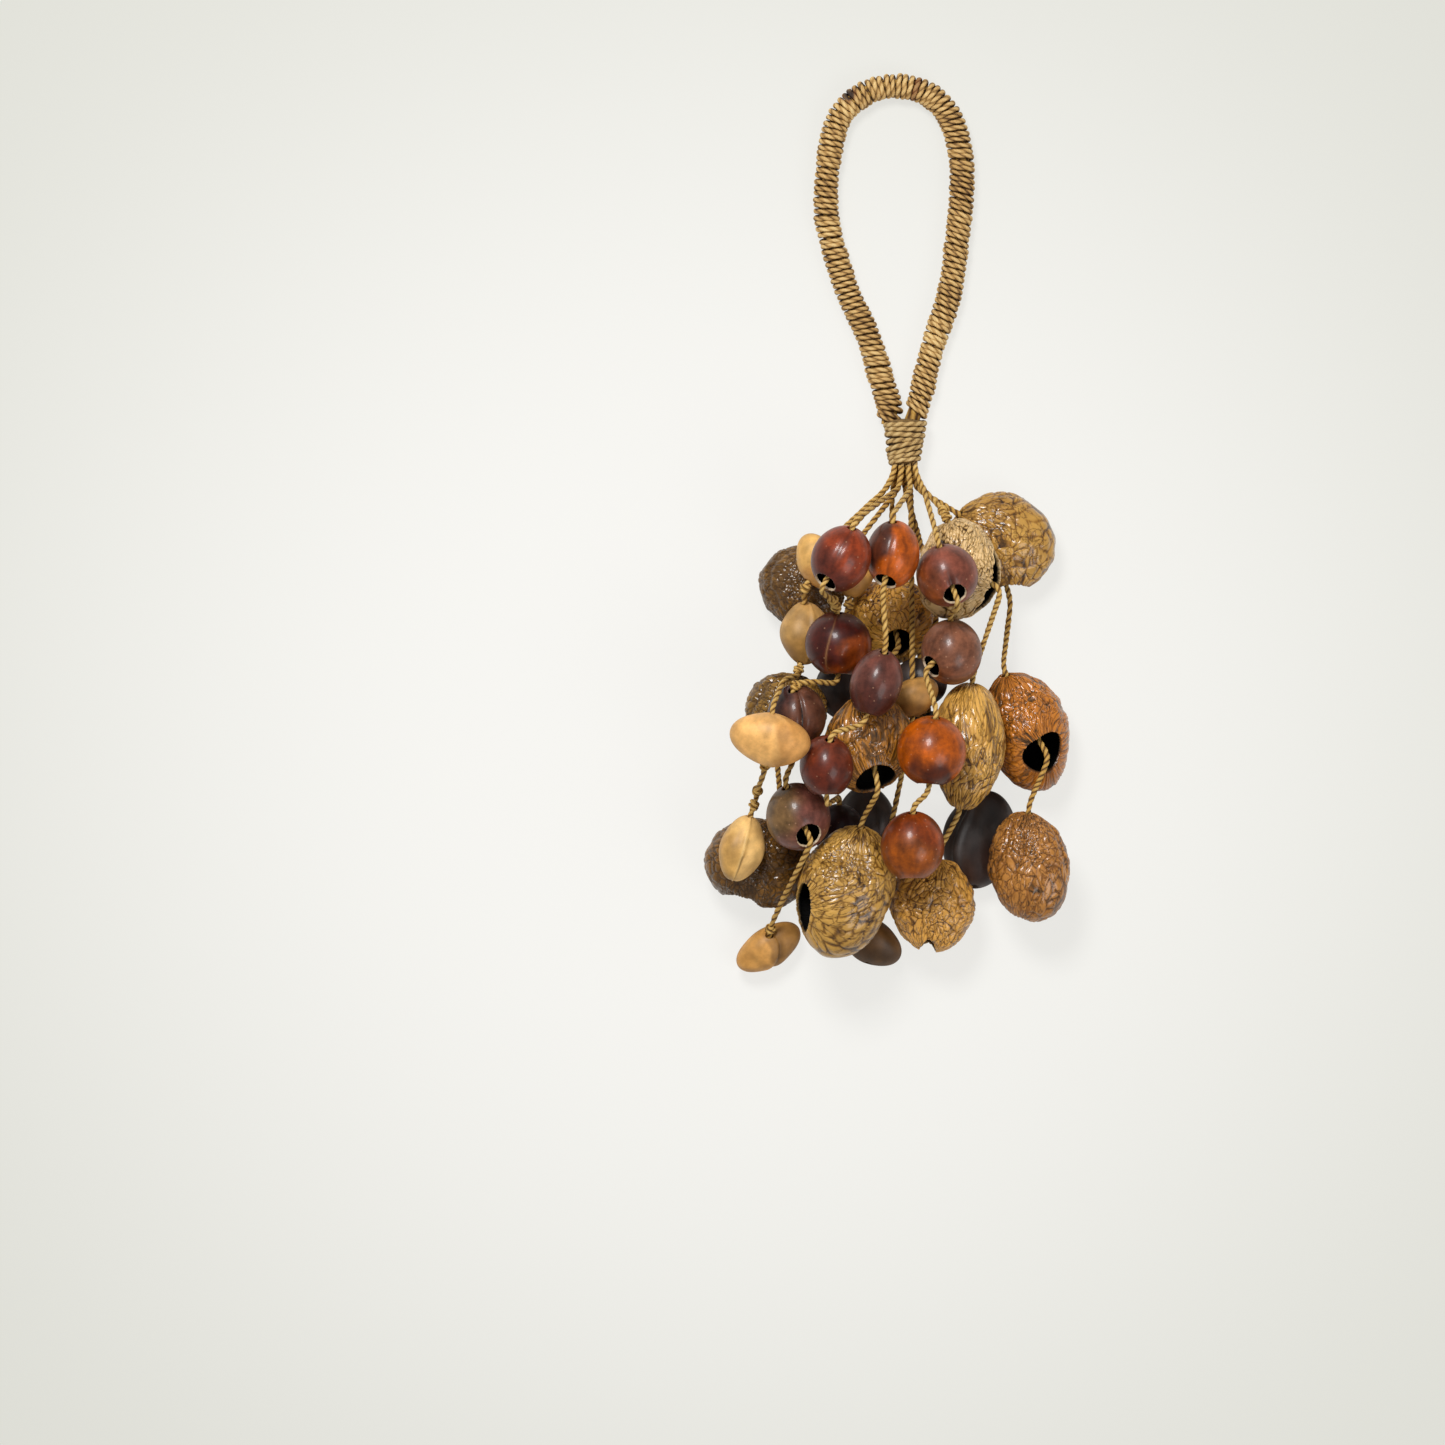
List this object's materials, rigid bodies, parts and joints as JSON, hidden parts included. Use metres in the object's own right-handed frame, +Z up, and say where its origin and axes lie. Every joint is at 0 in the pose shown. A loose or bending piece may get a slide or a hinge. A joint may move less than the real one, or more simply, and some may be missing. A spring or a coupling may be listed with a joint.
{
  "type": "nutshell rattle",
  "caption": "Bunch of hollow nutshells and seeds knotted on twine cords below a wound hand loop, shaken to rattle.",
  "frame": {"origin": "on the surface that it lies on, under the middle of the handle and the nuts", "axes": "+X across it, +Y from the shells towards the hand loop, +Z up from the surface that it lies on"},
  "size_m": [0.1456, 0.3592, 0.0839],
  "materials": {
    "grip_wrap": "matt wound twine",
    "grip_core": "matt twine",
    "throat_binding": "matt wound twine",
    "cord": "matt two-ply twine",
    "wrinkled_shell": "satin, veined",
    "red_shell": "satin polished",
    "tan_nut": "smooth matt",
    "black_nut": "satin"
  },
  "bodies": {
    "root": {"grip_wrap": "grip_wrap", "grip_core": "grip_core", "throat_binding": "throat_binding", "wrinkled_shell_01": "wrinkled_shell", "wrinkled_shell_02": "wrinkled_shell", "wrinkled_shell_03": "wrinkled_shell", "wrinkled_shell_04": "wrinkled_shell", "wrinkled_shell_05": "wrinkled_shell", "wrinkled_shell_06": "wrinkled_shell", "wrinkled_shell_07": "wrinkled_shell", "wrinkled_shell_08": "wrinkled_shell", "wrinkled_shell_09": "wrinkled_shell", "wrinkled_shell_10": "wrinkled_shell", "wrinkled_shell_11": "wrinkled_shell", "wrinkled_shell_12": "wrinkled_shell", "red_shell_01": "red_shell", "red_shell_02": "red_shell", "red_shell_03": "red_shell", "red_shell_04": "red_shell", "red_shell_05": "red_shell", "red_shell_06": "red_shell", "red_shell_07": "red_shell", "red_shell_08": "red_shell", "red_shell_09": "red_shell", "red_shell_10": "red_shell", "red_shell_11": "red_shell", "red_shell_12": "red_shell", "tan_nut_01": "tan_nut", "tan_nut_02": "tan_nut", "tan_nut_03": "tan_nut", "tan_nut_04": "tan_nut", "tan_nut_05": "tan_nut", "tan_nut_06": "tan_nut", "tan_nut_07": "tan_nut", "tan_nut_08": "tan_nut", "black_nut_01": "black_nut", "black_nut_02": "black_nut", "black_nut_03": "black_nut", "black_nut_04": "black_nut", "black_nut_05": "black_nut", "strand_01": "cord", "strand_02": "cord", "strand_03": "cord", "strand_04": "cord", "strand_05": "cord", "strand_06": "cord", "strand_07": "cord", "strand_08": "cord", "strand_09": "cord", "strand_10": "cord", "strand_11": "cord"}
  },
  "joints": []
}
